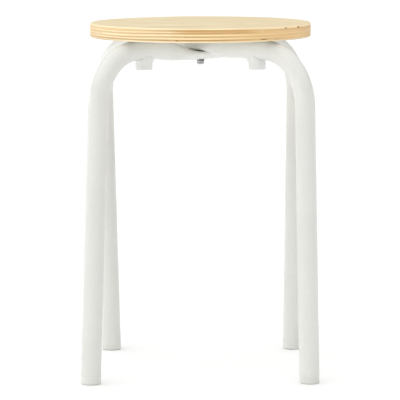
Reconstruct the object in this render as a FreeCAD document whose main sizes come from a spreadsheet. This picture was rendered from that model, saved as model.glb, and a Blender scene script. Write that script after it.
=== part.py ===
import FreeCAD, Part
import Sketcher
import os
import math
from FreeCAD import Vector, Placement, Rotation

# Round stacking stool, millimetres, +Z up, origin on the floor under the seat's axis, -Y is the front.
# Two U-shaped tubes cross under a round plywood seat; each arm runs along a diagonal (45 degrees).

os.makedirs("parts", exist_ok=True)
doc = FreeCAD.newDocument("stacking_stool")

# ---------------------------------------------------------------- dimensions
DIMS = [
    ("seat_height", 450.0),        # floor to the top of the seat
    ("seat_radius", 142.5),
    ("seat_thickness", 18.0),      # nine plies of 2 mm
    ("seat_arris", 1.6),           # rounded edge, top and bottom
    ("tube_radius", 12.8),         # 25.4 mm tube and its coating
    ("tube_wall", 1.5),
    ("arm_gap", 0.25),             # arm's top below the seat's underside
    ("bend_radius", 68.0),         # to the tube's centreline
    ("lower_front_arm", 178.9),    # seat axis to the leg's line, at arm height
    ("lower_front_foot", 190.4),   # the same, on the floor
    ("lower_rear_arm", 182.3),
    ("lower_rear_foot", 182.3),
    ("upper_front_arm", 183.4),
    ("upper_front_foot", 186.0),
    ("upper_rear_arm", 186.2),
    ("upper_rear_foot", 179.3),
    ("side_lean", 1.04),           # degrees each U leans about its own arm
    ("flat_start", 17.0),          # half length of the pressed flat
    ("press_blend", 34.0),         # part-pressed section
    ("press_round", 56.0),         # where the tube is round again
    ("press_level", 84.0),         # where it is back at the arm's height
    ("loft_end", 88.0),
    ("lower_sink", 3.0),           # the lower tube dips by this much before its flat
    ("cap_head", 10.0),
    ("cap_radius", 12.75),
    ("cap_edge", 2.4),
    ("stem_radius", 11.0),
    ("stem_length", 20.0),
    ("bumper_reach", 101.5),
    ("bumper_radius", 11.0),
    ("bumper_drop", 12.2),         # below the tube
    ("bumper_climb", 6.4),         # up the tube's sides
    ("bumper_edge", 1.4),
    ("saddle_radius", 13.06),
    ("recess_radius", 5.4),
    ("recess_depth", 5.4),
    ("clear_radius", 2.75),
    ("tube_hole_radius", 3.0),
    ("shank_radius", 2.45),
    ("seat_screw_length", 40.0),
    ("centre_screw_length", 40.0),
    ("seat_head_radius", 4.5),
    ("seat_head_height", 3.2),
    ("centre_head_radius", 4.75),
    ("centre_head_height", 3.7),
    ("spring_washer_radius", 4.6),
    ("spring_washer_height", 1.3),
    ("flat_washer_radius", 5.0),
    ("flat_washer_height", 1.0),
    ("washer_bore", 2.65),
    ("insert_radius", 4.0),
    ("insert_bore", 2.52),
    ("insert_length", 10.0),
    ("seat_hole_radius", 4.02),
    ("seat_hole_depth", 11.0),
]
sheet = doc.addObject("Spreadsheet::Sheet", "dims")
for i, (name, value) in enumerate(DIMS, start=1):
    sheet.set("A%d" % i, name)
    sheet.set("B%d" % i, repr(value))
    sheet.setAlias("B%d" % i, name)
doc.recompute()
D = dict(DIMS)

seat_under = D["seat_height"] - D["seat_thickness"]
arm_z = seat_under - D["arm_gap"] - D["tube_radius"]
lean = math.radians(D["side_lean"])


# ---------------------------------------------------------------- helpers
def new_body(name):
    body = doc.addObject("PartDesign::Body", name)
    body.Label = name
    return body


def origin_plane(body, role):
    for feature in body.Origin.OriginFeatures:
        if feature.Role == role:
            return feature
    raise RuntimeError("no " + role)


def new_sketch(body, name, role, offset=None):
    sketch = body.newObject("Sketcher::SketchObject", name)
    sketch.AttachmentSupport = [(origin_plane(body, role), "")]
    sketch.MapMode = "FlatFace"
    if offset is not None:
        sketch.AttachmentOffset = offset
    return sketch


def lift(distance):
    return Placement(Vector(0, 0, distance), Rotation())


def bind(sketch, index, name, expression):
    sketch.renameConstraint(index, name)
    sketch.setExpression("Constraints." + name, expression)


def circle(sketch, radius, expression, centre=(0.0, 0.0), name="radius", centre_expr=None):
    geo = sketch.addGeometry(
        Part.Circle(Vector(centre[0], centre[1], 0), Vector(0, 0, 1), radius), False)
    index = sketch.addConstraint(Sketcher.Constraint("Radius", geo, radius))
    bind(sketch, index, name, expression)
    if centre == (0.0, 0.0):
        sketch.addConstraint(Sketcher.Constraint("Coincident", geo, 3, -1, 1))
    else:
        if abs(centre[1]) < 1e-9:
            sketch.addConstraint(Sketcher.Constraint("PointOnObject", geo, 3, -1))
        else:
            index = sketch.addConstraint(Sketcher.Constraint("DistanceY", -1, 1, geo, 3, centre[1]))
            if centre_expr and centre_expr[1]:
                bind(sketch, index, name + "_cy", centre_expr[1])
        if abs(centre[0]) < 1e-9:
            sketch.addConstraint(Sketcher.Constraint("PointOnObject", geo, 3, -2))
        else:
            index = sketch.addConstraint(Sketcher.Constraint("DistanceX", -1, 1, geo, 3, centre[0]))
            if centre_expr and centre_expr[0]:
                bind(sketch, index, name + "_cx", centre_expr[0])
    return geo


def polygon(sketch, points):
    """Closed outline; returns the geometry indices."""
    ids = []
    n = len(points)
    for k in range(n):
        a, b = points[k], points[(k + 1) % n]
        ids.append(sketch.addGeometry(
            Part.LineSegment(Vector(a[0], a[1], 0), Vector(b[0], b[1], 0)), False))
    for k in range(n):
        sketch.addConstraint(Sketcher.Constraint("Coincident", ids[k], 2, ids[(k + 1) % n], 1))
    return ids


def pin_point(sketch, geo, point, x, y, tag, ex=None, ey=None):
    """Dimension one point from the sketch's origin, bound to the sheet."""
    if abs(x) < 1e-9:
        sketch.addConstraint(Sketcher.Constraint("PointOnObject", geo, point, -2))
    else:
        index = sketch.addConstraint(Sketcher.Constraint("DistanceX", -1, 1, geo, point, x))
        if ex:
            bind(sketch, index, tag + "_x", ex)
    if abs(y) < 1e-9:
        sketch.addConstraint(Sketcher.Constraint("PointOnObject", geo, point, -1))
    else:
        index = sketch.addConstraint(Sketcher.Constraint("DistanceY", -1, 1, geo, point, y))
        if ey:
            bind(sketch, index, tag + "_y", ey)


def feature(body, kind, name):
    return body.newObject("PartDesign::" + kind, name)


def pad(body, name, sketch, length, expression, reverse=False):
    f = feature(body, "Pad", name)
    f.Profile = sketch
    f.Length = length
    if expression:
        f.setExpression("Length", expression)
    f.Reversed = reverse
    sketch.Visibility = False
    return f


def pocket(body, name, sketch, length=None, expression=None, reverse=False, through=False, both=False):
    f = feature(body, "Pocket", name)
    f.Profile = sketch
    if through:
        f.Type = "ThroughAll"
    else:
        f.Length = length
        if expression:
            f.setExpression("Length", expression)
    f.Reversed = reverse
    if both:
        f.Midplane = True
    sketch.Visibility = False
    return f


def revolve(body, name, sketch):
    f = feature(body, "Revolution", name)
    f.Profile = sketch
    f.ReferenceAxis = (sketch, ["V_Axis"])
    f.Angle = 360.0
    sketch.Visibility = False
    return f


def volume_drop(body, before, label):
    doc.recompute()
    after = body.Shape.Volume
    if not after < before - 1e-6:
        raise RuntimeError(label + " removed nothing")
    return after


# ---------------------------------------------------------------- seat panel
def make_seat():
    body = new_body("seat_panel")
    s = new_sketch(body, "seat_outline", "XY_Plane")
    s.AttachmentOffset = lift(seat_under)
    s.setExpression("AttachmentOffset.Base.z", "dims.seat_height - dims.seat_thickness")
    circle(s, D["seat_radius"], "dims.seat_radius")
    p = pad(body, "seat_pad", s, D["seat_thickness"], "dims.seat_thickness")
    doc.recompute()
    rims = []
    for n, e in enumerate(p.Shape.Edges, start=1):
        if hasattr(e.Curve, "Radius") and abs(e.Length - 2 * math.pi * D["seat_radius"]) < 1.0:
            rims.append("Edge%d" % n)
    f = feature(body, "Fillet", "seat_arris")
    f.Base = (p, rims)
    f.Radius = D["seat_arris"]
    f.setExpression("Radius", "dims.seat_arris")
    doc.recompute()
    before = body.Shape.Volume
    h = new_sketch(body, "insert_holes", "XY_Plane")
    h.AttachmentOffset = lift(seat_under)
    h.setExpression("AttachmentOffset.Base.z", "dims.seat_height - dims.seat_thickness")
    circle(h, D["seat_hole_radius"], "dims.seat_hole_radius", name="hole_0")
    c = D["bumper_reach"] * math.sqrt(0.5)
    k = 1
    for sx in (-1, 1):
        for sy in (-1, 1):
            circle(h, D["seat_hole_radius"], "dims.seat_hole_radius", (sx * c, sy * c), "hole_%d" % k,
                   ("%d * dims.bumper_reach * sqrt(0.5)" % sx, "%d * dims.bumper_reach * sqrt(0.5)" % sy))
            k += 1
    pocket(body, "insert_pocket", h, D["seat_hole_depth"], "dims.seat_hole_depth", reverse=True)
    volume_drop(body, before, "insert_pocket")
    return body


# ---------------------------------------------------------------- U tubes
def spine(body, name, sign, arm_reach, foot_reach, foot_depth, a_expr, f_expr):
    """Centreline of one arm and leg in the tube's own upright plane, arm axis at height 0."""
    rb = D["bend_radius"]
    x0 = sign * D["loft_end"]
    top = Vector(sign * arm_reach, 0, 0)
    foot = Vector(sign * foot_reach, -foot_depth, 0)
    d = (top - foot)
    d.normalize()
    inward = Vector(-sign, 0, 0)
    angle = math.acos(max(-1.0, min(1.0, d.dot(inward))))
    t = rb * math.tan(angle / 2.0)
    a = top - d * t
    b = top + inward * t
    # the cap's head takes the last stretch of the leg
    length = (top - foot).Length
    end = foot + d * D["cap_head"]
    n = inward - d * inward.dot(d)
    n.normalize()
    c = a + n * rb
    mid_dir = (a - c) + (b - c)
    mid_dir.normalize()
    m = c + mid_dir * rb
    s = new_sketch(body, name, "XZ_Plane")
    g0 = s.addGeometry(Part.LineSegment(Vector(x0, 0, 0), b), False)
    arc = Part.Arc(b, m, a)
    g1 = s.addGeometry(arc, False)
    g2 = s.addGeometry(Part.LineSegment(a, end), False)
    # which end of the arc meets the arm
    first = s.getPoint(g1, 1)
    arm_end, leg_end = (1, 2) if (first - b).Length < 1e-3 else (2, 1)
    s.addConstraint(Sketcher.Constraint("Horizontal", g0))
    s.addConstraint(Sketcher.Constraint("Tangent", g0, 2, g1, arm_end))
    s.addConstraint(Sketcher.Constraint("Tangent", g1, leg_end, g2, 1))
    i = s.addConstraint(Sketcher.Constraint("Radius", g1, rb))
    bind(s, i, "bend", "dims.bend_radius")
    pin_point(s, g0, 1, x0, 0.0, "start", ex="%d * dims.loft_end" % sign)
    i = s.addConstraint(Sketcher.Constraint("DistanceX", -1, 1, g2, 2, end.x))
    s.renameConstraint(i, "foot_x")
    i = s.addConstraint(Sketcher.Constraint("DistanceY", -1, 1, g2, 2, end.y))
    s.renameConstraint(i, "foot_z")
    i = s.addConstraint(Sketcher.Constraint("DistanceX", -1, 1, g1, arm_end, b.x))
    s.renameConstraint(i, "bend_start")
    s.Visibility = False
    return s, d


def round_section(sketch, r, expression, drop=0.0):
    """Circle as four quarter arcs, so that it lofts edge by edge into the pressed section."""
    ids = []
    for k in range(4):
        a0 = math.radians(45 + 90 * k)
        a1 = math.radians(135 + 90 * k)
        arc = Part.ArcOfCircle(Part.Circle(Vector(0, -drop, 0), Vector(0, 0, 1), r), a0, a1)
        ids.append(sketch.addGeometry(arc, False))
    for k in range(4):
        sketch.addConstraint(Sketcher.Constraint("Coincident", ids[k], 2, ids[(k + 1) % 4], 1))
    if drop == 0.0:
        for k in range(4):
            sketch.addConstraint(Sketcher.Constraint("Coincident", ids[k], 3, -1, 1))
    else:
        for k in range(1, 4):
            sketch.addConstraint(Sketcher.Constraint("Coincident", ids[k], 3, ids[0], 3))
        sketch.addConstraint(Sketcher.Constraint("PointOnObject", ids[0], 3, -2))
        i = sketch.addConstraint(Sketcher.Constraint("DistanceY", ids[0], 3, -1, 1, drop))
        bind(sketch, i, "sink", "dims.lower_sink")
    i = sketch.addConstraint(Sketcher.Constraint("Radius", ids[0], r))
    bind(sketch, i, "radius", expression)


# Pressed sections: top, bottom, radius of the top arc, of the bottom arc, of the two ends.
# Heights are from the arm's axis; each keeps the round tube's outline length.
PRESSED = {
    "leg_tube_lower": {"flat": (-4.35, -17.2, 150.0, 22.37, 2.6), "blend": (0.3, -16.6, 60.0, 24.0, 6.67)},
    "leg_tube_upper": {"flat": (12.8, -4.2, 15.97, 150.0, 2.6), "blend": (12.8, -10.5, 14.6, 18.0, 10.21)},
}


def pressed_section(sketch, top, bottom, r_top, r_bottom, r_side):
    ct, cb = top - r_top, bottom + r_bottom
    # each end's centre lies r_top - r_side from the top arc's centre, r_bottom - r_side from the bottom arc's
    p, q = r_top - r_side, r_bottom - r_side
    y = (p * p - q * q + cb * cb - ct * ct) / (2.0 * (cb - ct))
    x = math.sqrt(p * p - (y - ct) ** 2)
    at = math.atan2(y - ct, x)
    ab = math.atan2(y - cb, x)
    z = Vector(0, 0, 1)
    arcs = [
        Part.ArcOfCircle(Part.Circle(Vector(0, ct, 0), z, r_top), at, math.pi - at),
        Part.ArcOfCircle(Part.Circle(Vector(-x, y, 0), z, r_side), math.pi - at, math.pi - ab),
        Part.ArcOfCircle(Part.Circle(Vector(0, cb, 0), z, r_bottom), math.pi - ab, 2 * math.pi + ab),
        Part.ArcOfCircle(Part.Circle(Vector(x, y, 0), z, r_side), ab, at),
    ]
    ids = [sketch.addGeometry(a, False) for a in arcs]
    for k in range(4):
        sketch.addConstraint(Sketcher.Constraint("Coincident", ids[k], 2, ids[(k + 1) % 4], 1))
    for k, r in ((0, r_top), (1, r_side), (2, r_bottom), (3, r_side)):
        i = sketch.addConstraint(Sketcher.Constraint("Radius", ids[k], r))
        sketch.renameConstraint(i, "radius_%d" % k)
    sketch.addConstraint(Sketcher.Constraint("PointOnObject", ids[0], 3, -2))
    sketch.addConstraint(Sketcher.Constraint("PointOnObject", ids[2], 3, -2))
    return ids


def make_tube(name, azimuth, lean_sign, sink):
    which = name.rsplit("_", 1)[1]
    body = new_body(name)
    body.Placement = Placement(
        Vector(0, 0, arm_z),
        Rotation(Vector(0, 0, 1), azimuth).multiply(Rotation(Vector(1, 0, 0), lean_sign * D["side_lean"])))
    depth = arm_z / math.cos(lean)
    front, df = spine(body, name + "_front_line", -1, D[which + "_front_arm"], D[which + "_front_foot"], depth,
                      "dims.%s_front_arm" % which, "dims.%s_front_foot" % which)
    rear, dr = spine(body, name + "_rear_line", 1, D[which + "_rear_arm"], D[which + "_rear_foot"], depth,
                     "dims.%s_rear_arm" % which, "dims.%s_rear_foot" % which)
    r = D["tube_radius"]
    w = D["tube_wall"]
    doc.recompute()
    start_f = new_sketch(body, name + "_front_ring", "YZ_Plane", lift(-D["loft_end"]))
    circle(start_f, r, "dims.tube_radius")
    start_r = new_sketch(body, name + "_rear_ring", "YZ_Plane", lift(D["loft_end"]))
    circle(start_r, r, "dims.tube_radius")
    for tag, ring, line in (("front", start_f, front), ("rear", start_r, rear)):
        f = feature(body, "AdditivePipe", name + "_" + tag + "_leg")
        f.Profile = ring
        f.Spine = (line, ["Edge1", "Edge2", "Edge3"])
        ring.Visibility = False
        doc.recompute()
    # the pressed middle
    half = [("press_level", "round"), ("press_round", "low"), ("press_blend", "blend"), ("flat_start", "flat")]
    stations = [(-D["loft_end"], "round")] + [(-D[k], v) for k, v in half] + [(0.0, "flat")]
    stations += [(D[k], v) for k, v in reversed(half)] + [(D["loft_end"], "round")]
    for inner in (False, True):
        if inner:
            for tag, offset, line in (("front", -D["loft_end"], front), ("rear", D["loft_end"], rear)):
                ring = new_sketch(body, name + "_" + tag + "_bore_ring", "YZ_Plane", lift(offset))
                circle(ring, r - w, "dims.tube_radius - dims.tube_wall")
                before = body.Shape.Volume
                f = feature(body, "SubtractivePipe", name + "_" + tag + "_bore")
                f.Profile = ring
                f.Spine = (line, ["Edge1", "Edge2", "Edge3"])
                ring.Visibility = False
                volume_drop(body, before, f.Name)
        g = w if inner else 0.0
        secs = []
        for k, (x, what) in enumerate(stations):
            sk = new_sketch(body, "%s_%s_%d" % (name, "inner" if inner else "outer", k), "YZ_Plane", lift(x))
            if what in ("round", "low"):
                round_section(sk, r - g, "dims.tube_radius - dims.tube_wall" if inner else "dims.tube_radius",
                              sink if what == "low" else 0.0)
            else:
                top, bottom, rt, rb, rs = PRESSED[name][what]
                pressed_section(sk, top - g, bottom + g, rt - g, rb - g, rs - g)
            sk.Visibility = False
            secs.append(sk)
        doc.recompute()
        before = body.Shape.Volume
        f = feature(body, "SubtractiveLoft" if inner else "AdditiveLoft",
                    name + ("_cavity" if inner else "_pressing"))
        f.Profile = secs[0]
        f.Sections = secs[1:]
        f.Ruled = False
        doc.recompute()
        if inner:
            volume_drop(body, before, f.Name)
    # screw holes, through both walls
    holes = new_sketch(body, name + "_holes", "XY_Plane", lift(30.0))
    circle(holes, D["tube_hole_radius"], "dims.tube_hole_radius", name="hole_0")
    circle(holes, D["tube_hole_radius"], "dims.tube_hole_radius", (D["bumper_reach"], 0.0), "hole_1",
           ("dims.bumper_reach", None))
    circle(holes, D["tube_hole_radius"], "dims.tube_hole_radius", (-D["bumper_reach"], 0.0), "hole_2",
           ("-dims.bumper_reach", None))
    before = body.Shape.Volume
    pocket(body, name + "_drill", holes, 60.0)
    volume_drop(body, before, name + "_drill")
    return body


# ---------------------------------------------------------------- foot caps
def leg_frame(azimuth, lean_sign, sign, arm_reach, foot_reach):
    """World placement of a leg's foot: on the floor, local z up the leg."""
    place = Placement(
        Vector(0, 0, arm_z),
        Rotation(Vector(0, 0, 1), azimuth).multiply(Rotation(Vector(1, 0, 0), lean_sign * D["side_lean"])))
    depth = arm_z / math.cos(lean)
    foot = place.multVec(Vector(sign * foot_reach, 0, -depth))
    top = place.multVec(Vector(sign * arm_reach, 0, 0))
    up = top - foot
    up.normalize()
    return foot, up


def make_cap(name, azimuth, lean_sign, sign, arm_reach, foot_reach):
    foot, up = leg_frame(azimuth, lean_sign, sign, arm_reach, foot_reach)
    turn = Rotation(Vector(0, 0, 1), up)
    body = new_body(name)
    body.Placement = Placement(foot, turn)
    s = new_sketch(body, name + "_profile", "XZ_Plane")
    rc, rs = D["cap_radius"], D["stem_radius"]
    hh, sl = D["cap_head"], D["stem_length"]
    low = -2.0
    pts = [(0, low), (rc, low), (rc, hh), (rs, hh), (rs, hh + sl - 2.0), (rs - 1.2, hh + sl), (0, hh + sl)]
    ids = polygon(s, pts)
    s.addConstraint(Sketcher.Constraint("PointOnObject", ids[0], 1, -2))
    i = s.addConstraint(Sketcher.Constraint("DistanceX", -1, 1, ids[1], 2, rc))
    bind(s, i, "head_radius", "dims.cap_radius")
    i = s.addConstraint(Sketcher.Constraint("DistanceY", -1, 1, ids[1], 2, hh))
    bind(s, i, "head_height", "dims.cap_head")
    i = s.addConstraint(Sketcher.Constraint("DistanceX", -1, 1, ids[3], 1, rs))
    bind(s, i, "stem_radius", "dims.stem_radius")
    for k in (0, 2, 5):
        s.addConstraint(Sketcher.Constraint("Horizontal", ids[k]))
    for k in (1, 3, 6):
        s.addConstraint(Sketcher.Constraint("Vertical", ids[k]))
    i = s.addConstraint(Sketcher.Constraint("DistanceY", -1, 1, ids[0], 1, low))
    i = s.addConstraint(Sketcher.Constraint("DistanceY", -1, 1, ids[5], 2, hh + sl))
    bind(s, i, "stem_top", "dims.cap_head + dims.stem_length")
    i = s.addConstraint(Sketcher.Constraint("DistanceY", ids[4], 1, ids[4], 2, 2.0))
    i = s.addConstraint(Sketcher.Constraint("DistanceX", ids[4], 2, ids[4], 1, 1.2))
    revolve(body, name + "_turned", s)
    doc.recompute()
    before = body.Shape.Volume
    # hollow stem, as moulded
    h = new_sketch(body, name + "_core", "XY_Plane", lift(hh + sl))
    circle(h, rs - 2.2, "dims.stem_radius - 2.2")
    pocket(body, name + "_coring", h, sl, "dims.stem_length")
    before = volume_drop(body, before, name + "_coring")
    # the sole is level with the floor
    sole = new_sketch(body, name + "_sole", "XY_Plane", Placement(Vector(0, 0, 0), turn.inverted()))
    circle(sole, 30.0, "dims.cap_radius + 17.35")
    cut = pocket(body, name + "_trim", sole, 12.0)
    volume_drop(body, before, name + "_trim")
    edges = []
    for n, e in enumerate(cut.Shape.Edges, start=1):
        pts3 = [turn.multVec(e.valueAt(e.FirstParameter + (e.LastParameter - e.FirstParameter) * k / 8.0))
                for k in range(9)]
        if all(abs(q.z) < 1e-3 for q in pts3):
            edges.append("Edge%d" % n)
    f = feature(body, "Fillet", name + "_rounding")
    f.Base = (cut, edges)
    f.Radius = D["cap_edge"]
    f.setExpression("Radius", "dims.cap_edge")
    doc.recompute()
    return body


# ---------------------------------------------------------------- stacking bumpers
def make_bumper(name, azimuth):
    a = math.radians(azimuth)
    body = new_body(name)
    body.Placement = Placement(
        Vector(D["bumper_reach"] * math.cos(a), D["bumper_reach"] * math.sin(a), arm_z),
        Rotation(Vector(0, 0, 1), azimuth))
    low = -(D["tube_radius"] + D["bumper_drop"])
    s = new_sketch(body, name + "_round", "XY_Plane", lift(low))
    s.setExpression("AttachmentOffset.Base.z", "-(dims.tube_radius + dims.bumper_drop)")
    circle(s, D["bumper_radius"], "dims.bumper_radius")
    p = pad(body, name + "_post", s, D["bumper_drop"] + D["bumper_climb"], "dims.bumper_drop + dims.bumper_climb")
    doc.recompute()
    rim = []
    for n, e in enumerate(p.Shape.Edges, start=1):
        if hasattr(e.Curve, "Radius") and abs(e.CenterOfMass.z - low) < 1e-3:
            rim.append("Edge%d" % n)
    f = feature(body, "Fillet", name + "_foot_edge")
    f.Base = (p, rim)
    f.Radius = D["bumper_edge"]
    f.setExpression("Radius", "dims.bumper_edge")
    doc.recompute()
    before = body.Shape.Volume
    sd = new_sketch(body, name + "_saddle", "YZ_Plane")
    circle(sd, D["saddle_radius"], "dims.saddle_radius")
    pocket(body, name + "_saddle_cut", sd, through=True, both=True)
    before = volume_drop(body, before, name + "_saddle_cut")
    hole = new_sketch(body, name + "_bore", "XY_Plane", lift(low))
    hole.setExpression("AttachmentOffset.Base.z", "-(dims.tube_radius + dims.bumper_drop)")
    circle(hole, D["clear_radius"], "dims.clear_radius")
    pocket(body, name + "_bore_cut", hole, 30.0, reverse=True)
    before = volume_drop(body, before, name + "_bore_cut")
    rec = new_sketch(body, name + "_recess", "XY_Plane", lift(low))
    rec.setExpression("AttachmentOffset.Base.z", "-(dims.tube_radius + dims.bumper_drop)")
    circle(rec, D["recess_radius"], "dims.recess_radius")
    pocket(body, name + "_recess_cut", rec, D["recess_depth"], "dims.recess_depth", reverse=True)
    volume_drop(body, before, name + "_recess_cut")
    return body


# ---------------------------------------------------------------- screws, washers, inserts
def make_screw(name, x, y, seat_z, length, length_expr, head_r, head_r_expr, head_h, dome, socket):
    """Head below seat_z, shank above it."""
    body = new_body(name)
    body.Placement = Placement(Vector(x, y, seat_z), Rotation())
    s = new_sketch(body, name + "_profile", "XZ_Plane")
    rs = D["shank_radius"]
    # domed head: the rim, then a quarter oval in short steps down to a small flat
    flat = head_r * 0.5
    side = head_h - dome
    steps = 6
    dome_pts = []
    for k in range(steps + 1):
        q = math.radians(90.0 * k / steps)
        dome_pts.append((flat + (head_r - flat) * math.sin(q), -side - dome * math.cos(q)))
    pts = [(0, -head_h)] + dome_pts + [(head_r, 0), (rs, 0), (rs, length - 0.8), (rs - 0.7, length), (0, length)]
    ids = polygon(s, pts)
    rim = steps + 1          # the head's upright rim, up to the bearing face
    s.addConstraint(Sketcher.Constraint("PointOnObject", ids[0], 1, -2))
    s.addConstraint(Sketcher.Constraint("PointOnObject", ids[rim + 1], 1, -1))
    i = s.addConstraint(Sketcher.Constraint("DistanceX", -1, 1, ids[rim + 1], 1, head_r))
    bind(s, i, "head_radius", head_r_expr)
    i = s.addConstraint(Sketcher.Constraint("DistanceX", -1, 1, ids[rim + 2], 1, rs))
    bind(s, i, "shank_radius", "dims.shank_radius")
    i = s.addConstraint(Sketcher.Constraint("DistanceY", -1, 1, ids[-1], 1, length))
    bind(s, i, "length", length_expr)
    for k in (0, rim + 1, len(ids) - 2):
        s.addConstraint(Sketcher.Constraint("Horizontal", ids[k]))
    for k in (rim, rim + 2, len(ids) - 1):
        s.addConstraint(Sketcher.Constraint("Vertical", ids[k]))
    revolve(body, name + "_turned", s)
    doc.recompute()
    before = body.Shape.Volume
    hx = new_sketch(body, name + "_socket", "XY_Plane", lift(-head_h))
    rr = socket / math.sqrt(3.0)
    polygon(hx, [(rr * math.cos(math.radians(60 * k)), rr * math.sin(math.radians(60 * k))) for k in range(6)])
    pocket(body, name + "_socket_cut", hx, head_h * 0.62, reverse=True)
    volume_drop(body, before, name + "_socket_cut")
    return body


def make_ring(name, x, y, z, r_out, r_expr, r_in, in_expr, height, h_expr, split=False):
    body = new_body(name)
    body.Placement = Placement(Vector(x, y, z), Rotation())
    s = new_sketch(body, name + "_ring", "XY_Plane")
    circle(s, r_out, r_expr, name="outer")
    circle(s, r_in, in_expr, name="inner")
    pad(body, name + "_pad", s, height, h_expr)
    doc.recompute()
    if split:
        before = body.Shape.Volume
        g = new_sketch(body, name + "_slit", "XZ_Plane")
        lean_x = 0.9
        polygon(g, [(2.0, -0.5), (2.7, -0.5), (2.7 + lean_x, height + 0.5), (2.0 + lean_x, height + 0.5)])
        pocket(body, name + "_slit_cut", g, 12.0)
        volume_drop(body, before, name + "_slit_cut")
    return body


def make_insert(name, x, y):
    body = new_body(name)
    body.Placement = Placement(Vector(x, y, seat_under), Rotation())
    s = new_sketch(body, name + "_profile", "XZ_Plane")
    ro, ri, ln = D["insert_radius"], D["insert_bore"], D["insert_length"]
    g = 0.35
    pts = [(ri, 0.05), (ro, 0.05), (ro, 2.6), (ro - g, 2.9), (ro - g, 3.9), (ro, 4.2), (ro, 6.2), (ro - g, 6.5),
           (ro - g, 7.5), (ro, 7.8), (ro, ln - 0.6), (ro - 0.6, ln), (ri, ln)]
    ids = polygon(s, pts)
    i = s.addConstraint(Sketcher.Constraint("DistanceX", -1, 1, ids[0], 2, ro))
    bind(s, i, "outer", "dims.insert_radius")
    i = s.addConstraint(Sketcher.Constraint("DistanceX", -1, 1, ids[0], 1, ri))
    bind(s, i, "bore", "dims.insert_bore")
    i = s.addConstraint(Sketcher.Constraint("DistanceX", -1, 1, ids[12], 1, ri))
    bind(s, i, "bore_top", "dims.insert_bore")
    s.addConstraint(Sketcher.Constraint("Horizontal", ids[0]))
    revolve(body, name + "_turned", s)
    doc.recompute()
    return body


# ---------------------------------------------------------------- build
bodies = []
bodies.append(make_seat())
# lower tube: front left to rear right; upper tube: front right to rear left
bodies.append(make_tube("leg_tube_lower", 45.0, 1, D["lower_sink"]))
bodies.append(make_tube("leg_tube_upper", 135.0, -1, 0.0))
bodies.append(make_cap("foot_cap_front_left", 45.0, 1, -1, D["lower_front_arm"], D["lower_front_foot"]))
bodies.append(make_cap("foot_cap_front_right", 135.0, -1, -1, D["upper_front_arm"], D["upper_front_foot"]))
bodies.append(make_cap("foot_cap_rear_left", 135.0, -1, 1, D["upper_rear_arm"], D["upper_rear_foot"]))
bodies.append(make_cap("foot_cap_rear_right", 45.0, 1, 1, D["lower_rear_arm"], D["lower_rear_foot"]))

CORNERS = (("front_left", 225.0), ("front_right", 315.0), ("rear_left", 135.0), ("rear_right", 45.0))
recess_floor = arm_z - D["tube_radius"] - D["bumper_drop"] + D["recess_depth"]
for tag, az in CORNERS:
    cx = D["bumper_reach"] * math.cos(math.radians(az))
    cy = D["bumper_reach"] * math.sin(math.radians(az))
    bodies.append(make_bumper("stack_bumper_" + tag, az))
    bodies.append(make_screw("seat_screw_" + tag, cx, cy, recess_floor - 0.02, D["seat_screw_length"],
                             "dims.seat_screw_length", D["seat_head_radius"], "dims.seat_head_radius",
                             D["seat_head_height"], 1.6, 3.0))
    bodies.append(make_insert("seat_insert_" + tag, cx, cy))

press_under = arm_z + PRESSED["leg_tube_lower"]["flat"][1] - 0.12
wz = press_under - D["flat_washer_height"]
bodies.append(make_ring("centre_flat_washer", 0, 0, wz, D["flat_washer_radius"], "dims.flat_washer_radius",
                        D["washer_bore"], "dims.washer_bore", D["flat_washer_height"], "dims.flat_washer_height"))
sz = wz - 0.02 - D["spring_washer_height"]
bodies.append(make_ring("centre_spring_washer", 0, 0, sz, D["spring_washer_radius"], "dims.spring_washer_radius",
                        D["washer_bore"], "dims.washer_bore", D["spring_washer_height"],
                        "dims.spring_washer_height", split=True))
bodies.append(make_screw("centre_screw", 0, 0, sz - 0.02, D["centre_screw_length"], "dims.centre_screw_length",
                         D["centre_head_radius"], "dims.centre_head_radius", D["centre_head_height"], 2.7, 3.0))
bodies.append(make_insert("centre_insert", 0, 0))

doc.recompute()

# ---------------------------------------------------------------- checks and export
bad = [o.Name for o in doc.Objects if any(w in st for st in o.State for w in ("Invalid", "Error"))]
if bad:
    raise RuntimeError("objects in error: " + ", ".join(bad))
for b in bodies:
    sh = b.Shape
    if sh.isNull() or not sh.isValid() or len(sh.Solids) != 1:
        raise RuntimeError("%s: null, invalid or %d solids" % (b.Label, len(sh.Solids)))
for b in bodies:
    b.Shape.exportStep("parts/%s.step" % b.Label)
    bb = b.Shape.BoundBox
    print("%-26s vol %10.1f  x %8.2f %8.2f  y %8.2f %8.2f  z %8.2f %8.2f" % (
        b.Label, b.Shape.Volume, bb.XMin, bb.XMax, bb.YMin, bb.YMax, bb.ZMin, bb.ZMax))
print("nodes", len(bodies))
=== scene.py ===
import bpy
import bmesh
import math
from mathutils import Matrix, Vector


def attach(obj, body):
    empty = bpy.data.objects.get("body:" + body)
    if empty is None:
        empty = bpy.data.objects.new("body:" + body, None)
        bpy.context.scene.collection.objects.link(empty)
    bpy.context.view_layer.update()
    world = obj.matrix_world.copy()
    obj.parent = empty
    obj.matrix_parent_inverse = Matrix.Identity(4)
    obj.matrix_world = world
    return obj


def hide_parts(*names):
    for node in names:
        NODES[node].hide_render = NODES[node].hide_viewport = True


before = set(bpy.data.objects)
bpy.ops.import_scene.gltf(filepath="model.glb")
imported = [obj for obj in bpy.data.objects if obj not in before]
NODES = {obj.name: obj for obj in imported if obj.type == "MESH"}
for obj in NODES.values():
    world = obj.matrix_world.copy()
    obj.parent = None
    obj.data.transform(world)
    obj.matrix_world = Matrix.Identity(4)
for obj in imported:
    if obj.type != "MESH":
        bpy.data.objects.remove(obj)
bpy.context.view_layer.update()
MM = 0.001

# ------------------------------------------------------------------ sizes, as in the CAD (mm)
SEAT_TOP, SEAT_T, SEAT_R = 450.0, 18.0, 142.5


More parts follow.
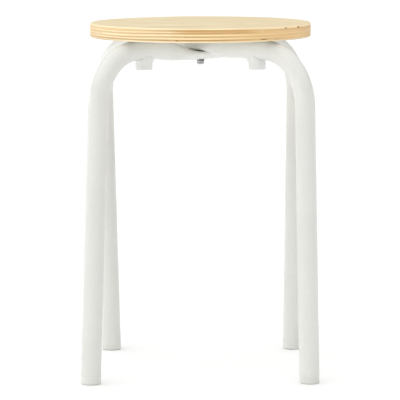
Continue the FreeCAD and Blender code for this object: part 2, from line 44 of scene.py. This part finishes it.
# ------------------------------------------------------------------ node helpers
class Tree:
    """Small helper that lays out a material's nodes."""

    def __init__(self, name):
        self.mat = bpy.data.materials.new(name)
        self.mat.use_nodes = True
        self.t = self.mat.node_tree
        self.t.nodes.clear()
        self.out = self.t.nodes.new("ShaderNodeOutputMaterial")
        self.bsdf = self.t.nodes.new("ShaderNodeBsdfPrincipled")
        self.t.links.new(self.bsdf.outputs[0], self.out.inputs[0])

    def node(self, kind, **props):
        n = self.t.nodes.new(kind)
        for k, v in props.items():
            setattr(n, k, v)
        return n

    def link(self, a, b):
        self.t.links.new(a, b)

    def set(self, socket, value):
        if hasattr(value, "is_output") or isinstance(value, bpy.types.NodeSocket):
            self.link(value, socket)
        else:
            socket.default_value = value

    def math(self, op, a, b=None, c=None, clamp=False):
        n = self.node("ShaderNodeMath", operation=op, use_clamp=clamp)
        self.set(n.inputs[0], a)
        if b is not None:
            self.set(n.inputs[1], b)
        if c is not None:
            self.set(n.inputs[2], c)
        return n.outputs[0]

    def mix(self, fac, a, b):
        n = self.node("ShaderNodeMix", data_type="RGBA", clamp_factor=True)
        self.set(n.inputs[0], fac)
        self.set(n.inputs[6], a)
        self.set(n.inputs[7], b)
        return n.outputs[2]

    def mixf(self, fac, a, b):
        n = self.node("ShaderNodeMix", data_type="FLOAT", clamp_factor=True)
        self.set(n.inputs[0], fac)
        self.set(n.inputs[2], a)
        self.set(n.inputs[3], b)
        return n.outputs[0]

    def remap(self, v, a, b, c=0.0, d=1.0, smooth=False):
        n = self.node("ShaderNodeMapRange", clamp=True)
        if smooth:
            n.interpolation_type = "SMOOTHSTEP"
        self.set(n.inputs[0], v)
        for k, x in enumerate((a, b, c, d), start=1):
            self.set(n.inputs[k], x)
        return n.outputs[0]

    def combine(self, x, y, z):
        n = self.node("ShaderNodeCombineXYZ")
        for k, v in enumerate((x, y, z)):
            self.set(n.inputs[k], v)
        return n.outputs[0]

    def noise(self, vec, scale, detail=2.0, rough=0.5, dist=0.0, out=0):
        n = self.node("ShaderNodeTexNoise")
        self.link(vec, n.inputs["Vector"])
        n.inputs["Scale"].default_value = scale
        n.inputs["Detail"].default_value = detail
        n.inputs["Roughness"].default_value = rough
        n.inputs["Distortion"].default_value = dist
        return n.outputs[out]

    def bump(self, height, strength, distance, normal=None):
        n = self.node("ShaderNodeBump")
        n.inputs["Strength"].default_value = strength
        n.inputs["Distance"].default_value = distance
        self.link(height, n.inputs["Height"])
        if normal is not None:
            self.link(normal, n.inputs["Normal"])
        return n.outputs[0]

    def position(self):
        """Object coordinates: every piece sits at the frame's origin, so these are frame metres."""
        n = self.node("ShaderNodeTexCoord")
        return n.outputs["Object"]


def rgb(r, g, b):
    """sRGB 0-255 to linear."""
    out = []
    for v in (r, g, b):
        v = v / 255.0
        out.append(v / 12.92 if v <= 0.04045 else ((v + 0.055) / 1.055) ** 2.4)
    return (*out, 1.0)


# ------------------------------------------------------------------ materials
def powder_coat():
    t = Tree("powder_coat_white")
    p = t.position()
    big = t.noise(p, 9.0, 3.0, 0.55)
    fine = t.noise(p, 240.0, 3.0, 0.6)
    peel = t.noise(p, 620.0, 2.0, 0.5)
    speck = t.noise(p, 2600.0, 1.0, 0.5)
    base = t.mix(t.remap(big, 0.3, 0.7), rgb(220, 220, 215), rgb(225, 225, 220))
    base = t.mix(t.remap(fine, 0.35, 0.75, 0.0, 0.35), base, rgb(214, 214, 209))
    t.link(base, t.bsdf.inputs["Base Color"])
    t.link(t.remap(t.math("ADD", fine, big), 0.6, 1.4, 0.40, 0.54), t.bsdf.inputs["Roughness"])
    h = t.math("ADD", t.math("MULTIPLY", peel, 0.8), t.math("MULTIPLY", speck, 0.2))
    t.link(t.bump(h, 0.10, 0.0006), t.bsdf.inputs["Normal"])
    t.bsdf.inputs["Specular IOR Level"].default_value = 0.15
    t.bsdf.inputs["Coat Weight"].default_value = 0.55
    t.bsdf.inputs["Coat Roughness"].default_value = 0.17
    return t.mat


def moulded(name, light, dark, rough, grain):
    t = Tree(name)
    p = t.position()
    big = t.noise(p, 26.0, 3.0, 0.55)
    fine = t.noise(p, grain, 3.0, 0.6)
    base = t.mix(t.remap(big, 0.3, 0.7), light, dark)
    t.link(base, t.bsdf.inputs["Base Color"])
    t.link(t.remap(fine, 0.3, 0.7, rough - 0.06, rough + 0.08), t.bsdf.inputs["Roughness"])
    t.link(t.bump(fine, 0.16, 0.0004), t.bsdf.inputs["Normal"])
    t.bsdf.inputs["Subsurface Weight"].default_value = 0.06
    t.bsdf.inputs["Subsurface Radius"].default_value = (0.004, 0.004, 0.003)
    t.bsdf.inputs["Subsurface Scale"].default_value = 0.5
    return t.mat


def zinc(name, dark, light, gap_shade=None):
    t = Tree(name)
    p = t.position()
    spang = t.node("ShaderNodeTexVoronoi")
    t.link(p, spang.inputs["Vector"])
    spang.inputs["Scale"].default_value = 900.0
    fine = t.noise(p, 1800.0, 3.0, 0.6)
    base = t.mix(t.remap(fine, 0.3, 0.7), rgb(*dark), rgb(*light))
    if gap_shade:
        # painted shade: a dark line painted in the gap where two parts meet
        sep = t.node("ShaderNodeSeparateXYZ")
        t.link(p, sep.inputs[0])
        off = t.math("ABSOLUTE", t.math("SUBTRACT", sep.outputs[2], gap_shade[0] * MM))
        base = t.mix(t.remap(off, gap_shade[1] * 0.5 * MM, gap_shade[1] * MM, 0.8, 0.0), base, rgb(52, 52, 50))
    t.link(base, t.bsdf.inputs["Base Color"])
    t.bsdf.inputs["Metallic"].default_value = 1.0
    t.link(t.remap(spang.outputs["Distance"], 0.0, 0.9, 0.28, 0.42), t.bsdf.inputs["Roughness"])
    t.link(t.bump(fine, 0.12, 0.0002), t.bsdf.inputs["Normal"])
    return t.mat


def brass():
    t = Tree("turned_brass")
    p = t.position()
    fine = t.noise(p, 1500.0, 3.0, 0.6)
    rings = t.node("ShaderNodeTexWave", wave_type="BANDS", bands_direction="Z")
    t.link(p, rings.inputs["Vector"])
    rings.inputs["Scale"].default_value = 700.0
    rings.inputs["Distortion"].default_value = 0.6
    base = t.mix(t.remap(fine, 0.3, 0.7), rgb(186, 152, 88), rgb(208, 176, 108))
    t.link(base, t.bsdf.inputs["Base Color"])
    t.bsdf.inputs["Metallic"].default_value = 1.0
    t.link(t.remap(fine, 0.3, 0.7, 0.25, 0.4), t.bsdf.inputs["Roughness"])
    t.link(t.bump(rings.outputs["Fac"], 0.15, 0.0002), t.bsdf.inputs["Normal"])
    return t.mat


FACE_A, FACE_B, FACE_C = (233, 219, 183), (219, 200, 158), (209, 187, 143)
FACE_L, FACE_F = (235, 221, 189), (207, 184, 140)


def wood_face(name, shade):
    """A face of the panel: rotary-cut veneer, its figure running left to right."""
    t = Tree(name)
    p = t.position()
    sep = t.node("ShaderNodeSeparateXYZ")
    t.link(p, sep.inputs[0])
    x, y, z = sep.outputs
    # rotary figure: slowly warped fields whose level lines run mostly along x
    warp = t.noise(t.combine(t.math("MULTIPLY", x, 2.2), t.math("MULTIPLY", y, 9.0), t.math("MULTIPLY", z, 60.0)),
                   1.6, 3.0, 0.5)
    level = t.math("ADD", t.math("MULTIPLY", y, 46.0), t.math("MULTIPLY", warp, 9.0))
    ring = t.remap(t.math("SINE", t.math("MULTIPLY", level, 6.2831853)), -1.0, 1.0)
    ring = t.math("POWER", ring, 2.2)
    late = t.remap(t.math("SINE", t.math("MULTIPLY", level, 14.3)), -1.0, 1.0)
    late = t.math("POWER", late, 7.0)
    sway = t.noise(t.combine(t.math("ADD", t.math("MULTIPLY", x, 3.4), 1.7), t.math("MULTIPLY", y, 7.0), z), 1.0, 2.0, 0.5)
    broad = t.math("ADD", t.math("MULTIPLY", y, 15.0), t.math("MULTIPLY", sway, 5.5))
    broad = t.remap(t.math("SINE", t.math("MULTIPLY", broad, 6.2831853)), -1.0, 1.0)
    band = t.noise(t.combine(t.math("MULTIPLY", x, 6.0), t.math("MULTIPLY", y, 42.0), t.math("MULTIPLY", z, 30.0)),
                   1.0, 2.0, 0.55)
    streak = t.noise(t.combine(t.math("MULTIPLY", x, 3.0), t.math("MULTIPLY", y, 150.0), z), 1.0, 4.0, 0.62)
    fibre = t.noise(t.combine(t.math("MULTIPLY", x, 40.0), t.math("MULTIPLY", y, 1900.0), z), 1.0, 3.0, 0.6)
    pores = t.noise(t.combine(t.math("MULTIPLY", x, 120.0), t.math("MULTIPLY", y, 2600.0), z), 1.0, 2.0, 0.5)
    cloud = t.noise(p, 11.0, 3.0, 0.55)
    base = t.mix(t.remap(ring, 0.0, 1.0, 0.0, 0.5), rgb(*FACE_A), rgb(*FACE_B))
    base = t.mix(t.remap(broad, 0.25, 1.0, 0.0, 0.42), base, rgb(*FACE_C))
    base = t.mix(t.math("MULTIPLY", late, t.remap(band, 0.35, 0.60, 0.30, 0.08)), base, rgb(*FACE_F))
    base = t.mix(t.remap(band, 0.40, 0.66, 0.0, 0.5), base, rgb(*FACE_B))
    base = t.mix(t.remap(streak, 0.38, 0.72, 0.0, 0.5), base, rgb(*FACE_C))
    base = t.mix(t.remap(cloud, 0.35, 0.7, 0.0, 0.4), base, rgb(*FACE_L))
    base = t.mix(t.remap(fibre, 0.45, 0.75, 0.0, 0.28), base, rgb(*FACE_F))
    base = t.mix(t.remap(pores, 0.68, 0.80, 0.0, 0.35), base, rgb(184, 156, 112))
    base = t.mix(t.remap(cloud, 0.3, 0.7, shade[1] * 0.85, shade[1]), base, shade[0])
    t.link(base, t.bsdf.inputs["Base Color"])
    t.link(t.remap(t.math("ADD", fibre, streak), 0.7, 1.3, 0.46, 0.60), t.bsdf.inputs["Roughness"])
    h = t.math("ADD", t.math("MULTIPLY", fibre, 0.6), t.math("MULTIPLY", pores, -0.5))
    t.link(t.bump(h, 0.12, 0.0004), t.bsdf.inputs["Normal"])
    t.bsdf.inputs["Specular IOR Level"].default_value = 0.22
    return t.mat


# heights of the glue lines above the underside (mm): the inner plies aren't all one thickness
GLUE = (2.0, 3.95, 6.5, 8.25, 10.75, 12.55, 14.15, 16.15)

# small splits and filled voids on the near rim: degrees from the front, height above the underside (mm),
# half length and half height (mm), depth of tone
FLAWS = ((49.2, 15.7, 2.6, 0.80, 0.75), (60.6, 15.5, 2.8, 1.0, 0.95), (64.8, 15.2, 1.6, 0.6, 0.6),
         (34.0, 3.0, 5.6, 0.58, 0.85), (42.5, 2.4, 6.5, 0.45, 0.35),
         (-11.9, 2.7, 1.6, 0.6, 1.0), (-18.5, 3.0, 6.5, 0.26, 0.35), (-63.0, 8.9, 2.0, 0.4, 0.5),
         (112.0, 7.4, 3.2, 0.5, 0.9), (141.0, 13.3, 2.2, 0.5, 0.8), (176.0, 3.2, 2.6, 0.45, 0.8),
         (-124.0, 9.6, 2.8, 0.45, 0.9), (-158.0, 15.2, 1.8, 0.5, 0.8))


def wood_edge():
    """The rim: nine plies, alternate ones end grain and long grain, with glue lines and a few flaws."""
    t = Tree("ply_edge")
    p = t.position()
    sep = t.node("ShaderNodeSeparateXYZ")
    t.link(p, sep.inputs[0])
    x, y, z = sep.outputs
    r = t.math("SQRT", t.math("ADD", t.math("MULTIPLY", x, x), t.math("MULTIPLY", y, y)))
    ux, uy = t.math("DIVIDE", x, r), t.math("DIVIDE", y, r)
    cx, cy = t.math("ABSOLUTE", ux), t.math("ABSOLUTE", uy)
    # distance round the rim from the front, in metres
    along = t.math("MULTIPLY", t.math("ARCTAN2", x, t.math("MULTIPLY", y, -1.0)), 0.1425)
    # height in the stack, 0 to 1, with the plies wandering a little round the rim
    wob = t.noise(t.combine(t.math("MULTIPLY", x, 9.0), t.math("MULTIPLY", y, 9.0), t.math("MULTIPLY", z, 70.0)),
                  1.0, 3.0, 0.55)
    h01 = t.math("DIVIDE", t.math("ADD", t.math("SUBTRACT", z, 0.432),
                                  t.math("MULTIPLY", t.math("SUBTRACT", wob, 0.5), 0.0011)), 0.018)
    # on the left of the front the middle plies sit a little lower
    low = t.math("MULTIPLY", t.remap(ux, -0.28, -0.62, smooth=True),
                 t.math("MULTIPLY", t.remap(h01, 0.20, 0.36, smooth=True), t.remap(h01, 0.86, 0.66, smooth=True)))
    h01 = t.math("ADD", h01, t.math("MULTIPLY", low, 0.048))
    # on the right the face ply is thicker and the one under it thinner
    sag = t.math("MULTIPLY", t.remap(ux, 0.34, 0.72, smooth=True),
                 t.math("MULTIPLY", t.remap(h01, 0.70, 0.82), t.remap(uy, 0.5, -0.1)))
    h01 = t.math("ADD", h01, t.math("MULTIPLY", sag, 0.07))

    def ramp(stops, mode="LINEAR"):
        n = t.node("ShaderNodeValToRGB")
        n.color_ramp.interpolation = mode
        els = n.color_ramp.elements
        els[0].position, els[1].position = 0.0, 1.0
        els[0].color = (stops[0][1],) * 3 + (1.0,)
        els[1].color = (stops[-1][1],) * 3 + (1.0,)
        for q, v in stops[1:-1]:
            e = els.new(q)
            e.color = (v, v, v, 1.0)
        t.link(h01, n.inputs[0])
        return n.outputs[0]

    par, glue = [(0.0, 0.0)], [(0.0, 0.0)]
    for k, g in enumerate(GLUE):
        lo, hi = (0.0, 1.0) if k % 2 == 0 else (1.0, 0.0)
        par += [((g - 0.08) / 18.0, lo), ((g + 0.08) / 18.0, hi)]
        glue += [((g - 0.26) / 18.0, 0.0), (g / 18.0, 1.0), ((g + 0.26) / 18.0, 0.0)]
    cross = ramp(par + [(1.0, 0.0)])          # 0 on the face plies and those in line with them, 1 on the cross plies
    line = ramp(glue + [(1.0, 0.0)])
    seeds = (0.12, 0.83, 0.47, 0.29, 0.95, 0.61, 0.05, 0.74, 0.38)
    seed = ramp([(0.0, seeds[0])] + [(g / 18.0, seeds[k + 1]) for k, g in enumerate(GLUE)] + [(1.0, seeds[8])],
                "CONSTANT")
    sid = t.math("MULTIPLY", seed, 37.0)

    # how much end grain each kind shows at this place on the rim (the face grain runs along x)
    end = t.mixf(cross, t.math("MULTIPLY", t.math("POWER", cx, 3.0), 0.20),
                 t.math("ADD", t.math("MULTIPLY", t.math("POWER", cy, 2.0), 0.46), 0.54))
    # brown heartwood in the upper inner plies at the middle of the front
    brown = t.math("MULTIPLY", t.remap(t.math("SUBTRACT", t.math("MULTIPLY", ux, 0.139), t.math("MULTIPLY", uy, 0.990)),
                                       0.905, 0.985, smooth=True),
                   t.math("MULTIPLY", t.remap(h01, 0.58, 0.63), t.remap(h01, 0.905, 0.885)))
    # the stack is browner and less even on the right of the front
    heart = t.remap(t.math("SUBTRACT", t.math("MULTIPLY", ux, 0.9), t.math("MULTIPLY", uy, 0.5)), 0.55, 1.02,
                    smooth=True)
    end = t.mixf(t.math("MULTIPLY", heart, HEART_MIX), end, 0.52)
    fib = t.noise(t.combine(t.math("MULTIPLY", along, 55.0), t.math("MULTIPLY", z, 3200.0), sid), 1.0, 4.0, 0.62)
    patch = t.noise(t.combine(t.math("MULTIPLY", along, 42.0), t.math("MULTIPLY", z, 260.0), sid), 1.0, 3.0, 0.6)
    dots = t.noise(t.combine(t.math("MULTIPLY", along, 1500.0), t.math("MULTIPLY", z, 3600.0), sid), 1.0, 3.0, 0.65)
    tone = t.noise(t.combine(t.math("MULTIPLY", along, 16.0), 0.0, t.math("MULTIPLY", sid, 3.0)), 1.0, 1.0, 0.5)
    long_g = t.mix(t.remap(fib, 0.32, 0.72), rgb(*LONG_A), rgb(*LONG_B))
    long_g = t.mix(t.remap(patch, 0.42, 0.72, 0.0, 0.5), long_g, rgb(*LONG_C))
    end_g = t.mix(t.remap(dots, 0.3, 0.7), rgb(*END_A), rgb(*END_B))
    end_g = t.mix(t.remap(patch, 0.35, 0.70, 0.0, 0.6), end_g, rgb(*END_C))
    end = t.math("ADD", end, t.remap(tone, 0.3, 0.7, -0.16, 0.16), clamp=True)
    base = t.mix(end, long_g, end_g)
    # broad drift of the stack's colour round the rim
    drift = t.noise(t.combine(t.math("ADD", t.math("MULTIPLY", x, 10.0), 3.1), t.math("MULTIPLY", y, 10.0),
                              t.math("MULTIPLY", z, 120.0)), 1.0, 2.0, 0.5)
    base = t.mix(t.remap(drift, 0.36, 0.70, 0.0, 0.34), base, rgb(*DRIFT))
    base = t.mix(t.math("MULTIPLY", heart, 0.45), base, rgb(*HEART))
    # painted sheen: the left of the rim is paled, as if lit from the left
    base = t.mix(t.remap(ux, -0.05, -0.45, 0.0, 0.16, smooth=True), base, rgb(*PAINTED_LEFT_SHEEN))
    base = t.mix(t.math("MULTIPLY", brown, 0.6), base, rgb(*BROWN))
    # the upper cross ply is pale on the left of the front and brown on the right
    upper = t.math("MULTIPLY", t.remap(h01, 0.775, 0.79), t.remap(h01, 0.905, 0.89))
    base = t.mix(t.math("MULTIPLY", upper, t.remap(ux, -0.30, -0.55, 0.0, 0.40, smooth=True)), base, rgb(*LONG_C))
    base = t.mix(t.math("MULTIPLY", upper, t.remap(ux, 0.45, 0.75, 0.0, 0.45, smooth=True)), base, rgb(*BROWN))
    # the lowest cross ply is olive brown
    lowest = t.math("MULTIPLY", t.remap(h01, 0.108, 0.118), t.remap(h01, 0.222, 0.212))
    base = t.mix(t.math("MULTIPLY", lowest, t.remap(ux, 0.30, 0.60, 0.34, 0.10, smooth=True)), base, rgb(*OLIVE))
    # painted shade: the far sides of the rim, seen edge-on, are darkened and greyed
    limb_shade = t.remap(t.math("SUBTRACT", cx, t.math("MULTIPLY", uy, 0.05)), 0.90, 1.0, smooth=True)
    base = t.mix(t.math("MULTIPLY", limb_shade, t.remap(ux, -0.5, 0.5, 0.22, 0.36)), base, rgb(*LIMB_SHADE))
    skin = t.math("MAXIMUM", t.remap(h01, 2.1 / 18.0, 1.9 / 18.0), t.remap(h01, 16.05 / 18.0, 16.25 / 18.0))
    base = t.mix(t.math("MULTIPLY", skin, 0.55), base, rgb(*SKIN))
    # rounded edges: painted shade, darker brown on the lower arris at the far sides and greyer on the upper arris over
    # the far half
    foot = t.math("MULTIPLY", t.remap(z, 0.4337, 0.4328), t.remap(cx, 0.66, 0.86, 0.0, 0.55, smooth=True))
    base = t.mix(foot, base, rgb(*LOW_ARRIS_SHADE))
    brow = t.math("MULTIPLY", t.remap(z, 0.4486, 0.4494), t.remap(uy, 0.0, 0.5, 0.0, 0.75, smooth=True))
    base = t.mix(brow, base, rgb(*HIGH_ARRIS_SHADE))
    base = t.mix(t.math("MULTIPLY", line, 0.50), base, rgb(*GLUE_C))
    # small voids and splits
    vn = t.noise(t.combine(t.math("MULTIPLY", along, 70.0), t.math("MULTIPLY", z, 420.0), sid), 1.0, 2.0, 0.5)
    inner = t.math("MULTIPLY", t.remap(h01, 0.11, 0.14), t.remap(h01, 0.87, 0.84))
    gap = t.math("MULTIPLY", t.remap(vn, 0.765, 0.80, smooth=True), inner)
    rag = t.noise(t.combine(t.math("MULTIPLY", along, 900.0), t.math("MULTIPLY", z, 1400.0), 5.0), 1.0, 2.0, 0.6)
    for deg, zz, hl, hh, depth in FLAWS:
        da = t.math("DIVIDE", t.math("SUBTRACT", along, math.radians(deg) * 0.1425), hl * MM)
        dz = t.math("DIVIDE", t.math("SUBTRACT", z, (432.0 + zz) * MM), hh * MM)
        d2 = t.math("ADD", t.math("MULTIPLY", da, da), t.math("MULTIPLY", dz, dz))
        d2 = t.math("ADD", d2, t.remap(rag, 0.3, 0.7, -0.35, 0.35))
        gap = t.math("MAXIMUM", gap, t.remap(d2, 0.55, 1.25, depth, 0.0, smooth=True))
    base = t.mix(gap, base, rgb(112, 78, 46))
    t.link(base, t.bsdf.inputs["Base Color"])
    t.link(t.mixf(end, 0.46, 0.60), t.bsdf.inputs["Roughness"])
    h = t.math("SUBTRACT", t.math("ADD", t.math("MULTIPLY", fib, 0.25), t.math("MULTIPLY", dots, 0.25)),
               t.math("ADD", t.math("MULTIPLY", line, 0.4), t.math("MULTIPLY", gap, 2.0)))
    t.link(t.bump(h, 0.30, 0.0004), t.bsdf.inputs["Normal"])
    t.bsdf.inputs["Specular IOR Level"].default_value = 0.15
    t.bsdf.inputs["Coat Weight"].default_value = 0.08
    t.bsdf.inputs["Coat Roughness"].default_value = 0.35
    return t.mat


LONG_A, LONG_B, LONG_C = (255, 241, 203), (248, 223, 175), (245, 214, 160)
END_A, END_B, END_C = (220, 178, 114), (188, 140, 80), (204, 156, 88)
DRIFT, HEART, BROWN = (244, 204, 146), (248, 208, 148), (204, 156, 92)
GLUE_C, SKIN, HEART_MIX = (160, 114, 64), (254, 239, 207), 0.76
# the first, third and fourth colours here are painted shade for the rim's far sides and rounded edges
LIMB_SHADE, OLIVE, LOW_ARRIS_SHADE, HIGH_ARRIS_SHADE = (196, 160, 114), (166, 136, 84), (168, 132, 92), (190, 176, 146)
# painted sheen colour for the left of the rim
PAINTED_LEFT_SHEEN = (246, 232, 204)

MAT_COAT = powder_coat()
MAT_CAP = moulded("cap_plastic_white", rgb(222, 222, 217), rgb(216, 216, 210), 0.42, 700.0)
MAT_BUMP = moulded("bumper_plastic_white", rgb(232, 233, 231), rgb(228, 229, 226), 0.48, 900.0)
MAT_ZINC = zinc("zinc_plated_steel", (150, 150, 150), (184, 184, 182))
# painted shade: the flat washer is coloured near-black to stand in for the shadow in the gap under the tube
MAT_WASHER_PAINTED_SHADE = zinc("washer_steel", (34, 34, 33), (52, 52, 50))
# painted highlight: the spring washer is coloured lighter than the other zinc parts for its glint, with a painted shade
# band at its gap
MAT_SPRING_GLINT_AND_SHADE = zinc("spring_washer_steel", (206, 206, 204), (224, 224, 222), (400.62, 0.5))
# painted shade: the screw head carries a dark band at its gap with the spring washer
MAT_HEAD = zinc("screw_head_steel", (164, 164, 163), (196, 196, 194), (398.75, 0.75))
MAT_BRASS = brass()
MAT_FACE = wood_face("veneer_face", (rgb(226, 211, 180), 0.0))
MAT_BACK = wood_face("veneer_back", (rgb(243, 240, 232), 0.88))
MAT_EDGE = wood_edge()


# ------------------------------------------------------------------ mesh helpers
def add_mesh(name, verts, faces, mats, face_mats=None, smooth_deg=40.0):
    me = bpy.data.meshes.new(name)
    me.from_pydata([Vector(v) * MM for v in verts], [], faces)
    me.validate()
    for m in mats:
        me.materials.append(m)
    if face_mats:
        for poly, k in zip(me.polygons, face_mats):
            poly.material_index = k
    for poly in me.polygons:
        poly.use_smooth = True
    me.set_sharp_from_angle(angle=math.radians(smooth_deg))
    ob = bpy.data.objects.new(name, me)
    bpy.context.scene.collection.objects.link(ob)
    return ob


def lathe(rings, n):
    """rings of (radius, height) about +Z; a radius of 0 closes to a point. Returns verts, faces."""
    verts, faces, rows = [], [], []
    for r, z in rings:
        if r < 1e-9:
            rows.append([len(verts)])
            verts.append((0.0, 0.0, z))
        else:
            rows.append(list(range(len(verts), len(verts) + n)))
            for k in range(n):
                a = 2 * math.pi * k / n
                verts.append((r * math.cos(a), r * math.sin(a), z))
    for a, b in zip(rows, rows[1:]):
        for k in range(n):
            k2 = (k + 1) % n
            if len(a) == 1 and len(b) == 1:
                continue
            if len(a) == 1:
                faces.append((a[0], b[k2], b[k]))
            elif len(b) == 1:
                faces.append((a[k], a[k2], b[0]))
            else:
                faces.append((a[k], a[k2], b[k2], b[k]))
    return verts, faces


# ------------------------------------------------------------------ seat
def make_seat():
    r, lo, hi, e = SEAT_R, SEAT_TOP - SEAT_T, SEAT_TOP, 1.6
    rings = []
    # underside, from the middle out
    for q in (0.0, 20.0, 50.0, 80.0, 110.0, 130.0, r - e - 2.0, r - e):
        rings.append((q, lo))
    for k in range(1, 7):
        a = math.radians(15 * k)
        rings.append((r - e + e * math.sin(a), lo + e - e * math.cos(a)))
    for k in range(1, 18):
        rings.append((r, lo + e + (SEAT_T - 2 * e) * k / 18.0))
    for k in range(0, 7):
        a = math.radians(15 * k)
        rings.append((r - e + e * math.cos(a), hi - e + e * math.sin(a)))
    for q in (r - e - 2.0, 130.0, 110.0, 80.0, 50.0, 20.0, 0.0):
        rings.append((q, hi))
    n = 240
    verts, faces = lathe(rings, n)
    fm = []
    for f in faces:
        rr = max(math.hypot(verts[i][0], verts[i][1]) for i in f)
        zz = sum(verts[i][2] for i in f) / len(f)
        rmean = sum(math.hypot(verts[i][0], verts[i][1]) for i in f) / len(f)
        flat_face = rmean < r - e + 0.2 * e
        fm.append((0 if zz > (lo + hi) / 2 else 2) if flat_face else 1)
    return add_mesh("seat_disc", verts, faces, [MAT_FACE, MAT_EDGE, MAT_BACK], fm, 60.0)


seat = make_seat()
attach(seat, "root")
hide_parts("seat_panel")

# ------------------------------------------------------------------ carried-over nodes
for name, ob in NODES.items():
    if name.startswith("leg_tube"):
        m = MAT_COAT
    elif name.startswith("foot_cap"):
        m = MAT_CAP
    elif name.startswith("stack_bumper"):
        m = MAT_BUMP
    elif "insert" in name:
        m = MAT_BRASS
    elif name == "seat_panel":
        m = MAT_EDGE
    elif name == "centre_flat_washer":
        m = MAT_WASHER_PAINTED_SHADE
    elif name == "centre_spring_washer":
        m = MAT_SPRING_GLINT_AND_SHADE
    elif name == "centre_screw":
        m = MAT_HEAD
    else:
        m = MAT_ZINC
    for s in ob.material_slots:
        s.material = m

# ------------------------------------------------------------------ camera, fitted to the seat, the legs and the feet
F_PX, DIST, HEIGHT, PITCH, CX, YAW, ROLL = 2895.8, 3742.2, 662.66, 6.7665, -2.25, 0.017, -0.159
a, yw, rl = math.radians(PITCH), math.radians(YAW), math.radians(ROLL)
fwd = Vector((math.sin(yw) * math.cos(a), math.cos(yw) * math.cos(a), -math.sin(a)))
right = Vector((math.cos(yw), -math.sin(yw), 0.0))
up = right.cross(fwd)
r2 = right * math.cos(rl) + up * math.sin(rl)
u2 = -right * math.sin(rl) + up * math.cos(rl)
cam_data = bpy.data.cameras.new("camera")
cam = bpy.data.objects.new("camera", cam_data)
bpy.context.scene.collection.objects.link(cam)
cam.matrix_world = Matrix((
    (r2.x, u2.x, -fwd.x, CX * MM),
    (r2.y, u2.y, -fwd.y, -DIST * MM),
    (r2.z, u2.z, -fwd.z, HEIGHT * MM),
    (0, 0, 0, 1)))
cam_data.sensor_width = 36.0
cam_data.lens = F_PX / 400.0 * 36.0
cam_data.clip_start = 0.05
cam_data.clip_end = 60.0
cam_data.dof.use_dof = False
bpy.context.scene.camera = cam


# ------------------------------------------------------------------ floor and light
def make_stage():
    t = Tree("studio_paper")
    p = t.position()
    n1 = t.noise(p, 3.0, 2.0, 0.5)
    t.link(t.mix(t.remap(n1, 0.3, 0.7), (0.94, 0.94, 0.94, 1), (0.95, 0.95, 0.95, 1)), t.bsdf.inputs["Base Color"])
    t.bsdf.inputs["Roughness"].default_value = 0.9
    t.bsdf.inputs["Specular IOR Level"].default_value = 0.1
    n, rings = 64, (0.6, 1.5, 4.0, 10.0, 24.0)
    verts, faces = [(0.0, 0.0, 0.0)], []
    for r in rings:
        for k in range(n):
            q = 2 * math.pi * k / n
            verts.append((r / MM * math.cos(q), r / MM * math.sin(q), 0.0))
    for k in range(n):
        faces.append((0, 1 + k, 1 + (k + 1) % n))
    for j in range(len(rings) - 1):
        for k in range(n):
            k2 = (k + 1) % n
            faces.append((1 + j * n + k, 1 + (j + 1) * n + k, 1 + (j + 1) * n + k2, 1 + j * n + k2))
    ob = add_mesh("studio_floor", verts, faces, [t.mat])
    return ob


make_stage()


def make_world():
    """A white studio: a low bright wall all round, brighter on the left, and a broad ceiling light."""
    world = bpy.data.worlds.new("studio")
    world.use_nodes = True
    nt = world.node_tree
    bg = nt.nodes["Background"]
    tc = nt.nodes.new("ShaderNodeTexCoord")
    sep = nt.nodes.new("ShaderNodeSeparateXYZ")
    nt.links.new(tc.outputs["Generated"], sep.inputs[0])
    x, y, z = sep.outputs

    def put(sock, v):
        if isinstance(v, bpy.types.NodeSocket):
            nt.links.new(v, sock)
        else:
            sock.default_value = v

    def m(op, a, b=0.0):
        n = nt.nodes.new("ShaderNodeMath")
        n.operation = op
        put(n.inputs[0], a)
        put(n.inputs[1], b)
        return n.outputs[0]

    def step(v, a, b, c, d):
        n = nt.nodes.new("ShaderNodeMapRange")
        n.interpolation_type = "SMOOTHSTEP"
        for k, q in enumerate((v, a, b, c, d)):
            put(n.inputs[k], q)
        return n.outputs[0]

    flat = m("SQRT", m("ADD", m("MULTIPLY", x, x), m("MULTIPLY", y, y)))

    def toward(deg):
        """Cosine of the compass angle from a direction: 0 is the front (-Y), -90 the left (-X)."""
        a = math.radians(deg)
        return m("DIVIDE", m("ADD", m("MULTIPLY", x, math.sin(a)), m("MULTIPLY", y, -math.cos(a))), flat)

    side = step(toward(-108), -0.30, 0.35, 0.0, 1.0)
    side = m("MULTIPLY", side, step(toward(180), 0.50, 0.90, 1.0, 0.10))
    wall = m("ADD", WALL, m("MULTIPLY", side, m("ADD", WALL_LEFT, m("MULTIPLY", toward(-55), 0.2))))
    wall = m("MULTIPLY", wall, step(z, math.sin(math.radians(9.0)), math.sin(math.radians(11.5)), 1.0, 0.0))
    up = step(z, math.sin(math.radians(27.0)), math.sin(math.radians(33.0)), 0.0, 1.0)
    ceiling = m("MULTIPLY", up, m("ADD", CEILING, m("MULTIPLY", m("MULTIPLY", toward(-80), flat), CEILING_LEFT)))
    gap = m("MULTIPLY", GAP, step(z, math.sin(math.radians(9.0)), math.sin(math.radians(11.5)), 0.0, 1.0))
    put(bg.inputs[1], m("ADD", m("ADD", wall, ceiling), gap))
    bg.inputs[0].default_value = (1.0, 1.0, 1.0, 1.0)
    bpy.context.scene.world = world


WALL, WALL_LEFT, CEILING, CEILING_LEFT, GAP = 1.0, 1.72, 1.38, 0.30, 0.10
make_world()

bpy.context.scene.view_settings.view_transform = "Standard"
bpy.context.scene.view_settings.look = "None"
bpy.context.scene.view_settings.exposure = 0.0
bpy.context.scene.view_settings.gamma = 1.0
